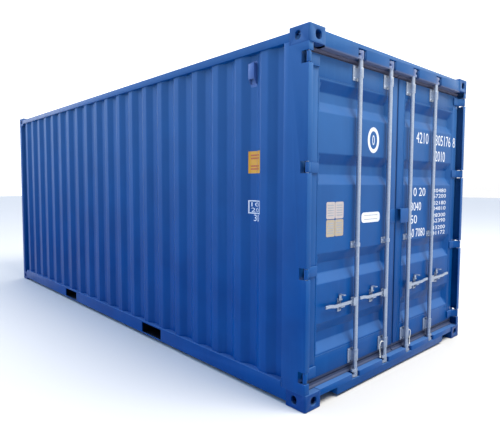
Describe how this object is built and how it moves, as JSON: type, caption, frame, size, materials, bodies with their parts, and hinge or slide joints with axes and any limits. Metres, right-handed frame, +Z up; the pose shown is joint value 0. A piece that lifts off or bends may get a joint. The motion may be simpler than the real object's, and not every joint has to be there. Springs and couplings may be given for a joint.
{
  "type": "shipping container",
  "caption": "Twenty foot dry freight container of corrugated steel with two hinged doors, turning lock bars, lifting handles, corner castings and fork pockets",
  "frame": {"origin": "centre of the container's footprint, on the ground under its corner castings", "axes": "+X along the length towards the doors, +Y to the right seen from behind, +Z up"},
  "size_m": [6.058, 2.438, 2.591],
  "materials": {
    "blue_paint": "gloss paint on weathering steel",
    "cast_paint": "paint on cast steel",
    "galvanised_steel": "hot dip galvanised",
    "gasket_rubber": "matt",
    "plywood": "oiled hardwood ply",
    "vent_plastic": "moulded plastic painted over",
    "white_rope": "twisted rope"
  },
  "bodies": {
    "container": {"left_rear_post": "blue_paint", "right_rear_post": "blue_paint", "front_posts": "blue_paint", "top_side_rails": "blue_paint", "bottom_side_rails": "blue_paint", "front_top_rail": "blue_paint", "front_bottom_rail": "blue_paint", "door_header": "blue_paint", "door_sill": "blue_paint", "left_side_wall": "blue_paint", "right_side_wall": "blue_paint", "front_wall": "blue_paint", "roof_panel": "blue_paint", "front_roof_plate": "blue_paint", "roof_corner_plates": "blue_paint", "cross_members": "blue_paint", "fork_pockets": "blue_paint", "bottom_corner_castings": "cast_paint", "top_corner_castings": "cast_paint", "hinge_pins": "galvanised_steel", "cam_keepers": "cast_paint", "plywood_floor": "plywood", "side_vents": "vent_plastic"},
    "left_door": {"left_door_stiles": "blue_paint", "left_door_rails": "blue_paint", "left_door_panel": "blue_paint", "left_door_gasket": "gasket_rubber", "left_door_hinges": "blue_paint", "left_bar_brackets": "galvanised_steel", "left_handle_retainers": "galvanised_steel", "left_tie_rope": "white_rope", "left_lock_plate": "blue_paint"},
    "right_door": {"right_door_stiles": "blue_paint", "right_door_rails": "blue_paint", "right_door_panel": "blue_paint", "right_door_gasket": "gasket_rubber", "right_door_hinges": "blue_paint", "right_bar_brackets": "galvanised_steel", "right_handle_retainers": "galvanised_steel", "right_tie_rope": "white_rope", "right_lock_box": "blue_paint"},
    "lock_bar_1": {"lock_bar_1": "galvanised_steel"},
    "handle_1": {"handle_1": "galvanised_steel"},
    "catch_1": {"catch_1": "galvanised_steel"},
    "lock_bar_2": {"lock_bar_2": "galvanised_steel"},
    "handle_2": {"handle_2": "galvanised_steel"},
    "catch_2": {"catch_2": "galvanised_steel"},
    "lock_bar_3": {"lock_bar_3": "galvanised_steel"},
    "handle_3": {"handle_3": "galvanised_steel"},
    "catch_3": {"catch_3": "galvanised_steel"},
    "lock_bar_4": {"lock_bar_4": "galvanised_steel"},
    "handle_4": {"handle_4": "galvanised_steel"},
    "catch_4": {"catch_4": "galvanised_steel"}
  },
  "joints": [
    {"name": "left_door_swing", "type": "hinge", "parent": "container", "child": "left_door", "pos_m": [3.008, -1.2, 1.308], "axis": [0, 0, -1], "range_deg": [0, 260]},
    {"name": "right_door_swing", "type": "hinge", "parent": "container", "child": "right_door", "pos_m": [3.008, 1.2, 1.308], "axis": [0, 0, 1], "range_deg": [0, 260]},
    {"name": "lock_bar_1_turn", "type": "hinge", "parent": "left_door", "child": "lock_bar_1", "pos_m": [3.002, -0.603, 1.308], "axis": [0, 0, -1], "range_deg": [-100, 0]},
    {"name": "handle_1_lift", "type": "hinge", "parent": "lock_bar_1", "child": "handle_1", "pos_m": [3.002, -0.639, 0.671], "axis": [1, 0, 0], "range_deg": [-12, 0]},
    {"name": "catch_1_fold", "type": "hinge", "parent": "left_door", "child": "catch_1", "pos_m": [2.982, -0.778, 0.703], "axis": [0, 1, 0], "range_deg": [0, 90]},
    {"name": "lock_bar_2_turn", "type": "hinge", "parent": "left_door", "child": "lock_bar_2", "pos_m": [3.002, -0.179, 1.308], "axis": [0, 0, -1], "range_deg": [-100, 0]},
    {"name": "handle_2_lift", "type": "hinge", "parent": "lock_bar_2", "child": "handle_2", "pos_m": [3.002, -0.215, 0.671], "axis": [1, 0, 0], "range_deg": [-12, 0]},
    {"name": "catch_2_fold", "type": "hinge", "parent": "left_door", "child": "catch_2", "pos_m": [2.982, -0.354, 0.703], "axis": [0, 1, 0], "range_deg": [0, 90]},
    {"name": "lock_bar_3_turn", "type": "hinge", "parent": "right_door", "child": "lock_bar_3", "pos_m": [3.002, 0.179, 1.308], "axis": [0, 0, 1], "range_deg": [-100, 0]},
    {"name": "handle_3_lift", "type": "hinge", "parent": "lock_bar_3", "child": "handle_3", "pos_m": [3.002, 0.215, 0.671], "axis": [-1, 0, 0], "range_deg": [-12, 0]},
    {"name": "catch_3_fold", "type": "hinge", "parent": "right_door", "child": "catch_3", "pos_m": [2.982, 0.354, 0.703], "axis": [0, 1, 0], "range_deg": [0, 90]},
    {"name": "lock_bar_4_turn", "type": "hinge", "parent": "right_door", "child": "lock_bar_4", "pos_m": [3.002, 0.603, 1.308], "axis": [0, 0, 1], "range_deg": [-100, 0]},
    {"name": "handle_4_lift", "type": "hinge", "parent": "lock_bar_4", "child": "handle_4", "pos_m": [3.002, 0.639, 0.671], "axis": [-1, 0, 0], "range_deg": [-12, 0]},
    {"name": "catch_4_fold", "type": "hinge", "parent": "right_door", "child": "catch_4", "pos_m": [2.982, 0.778, 0.703], "axis": [0, 1, 0], "range_deg": [0, 90]}
  ]
}
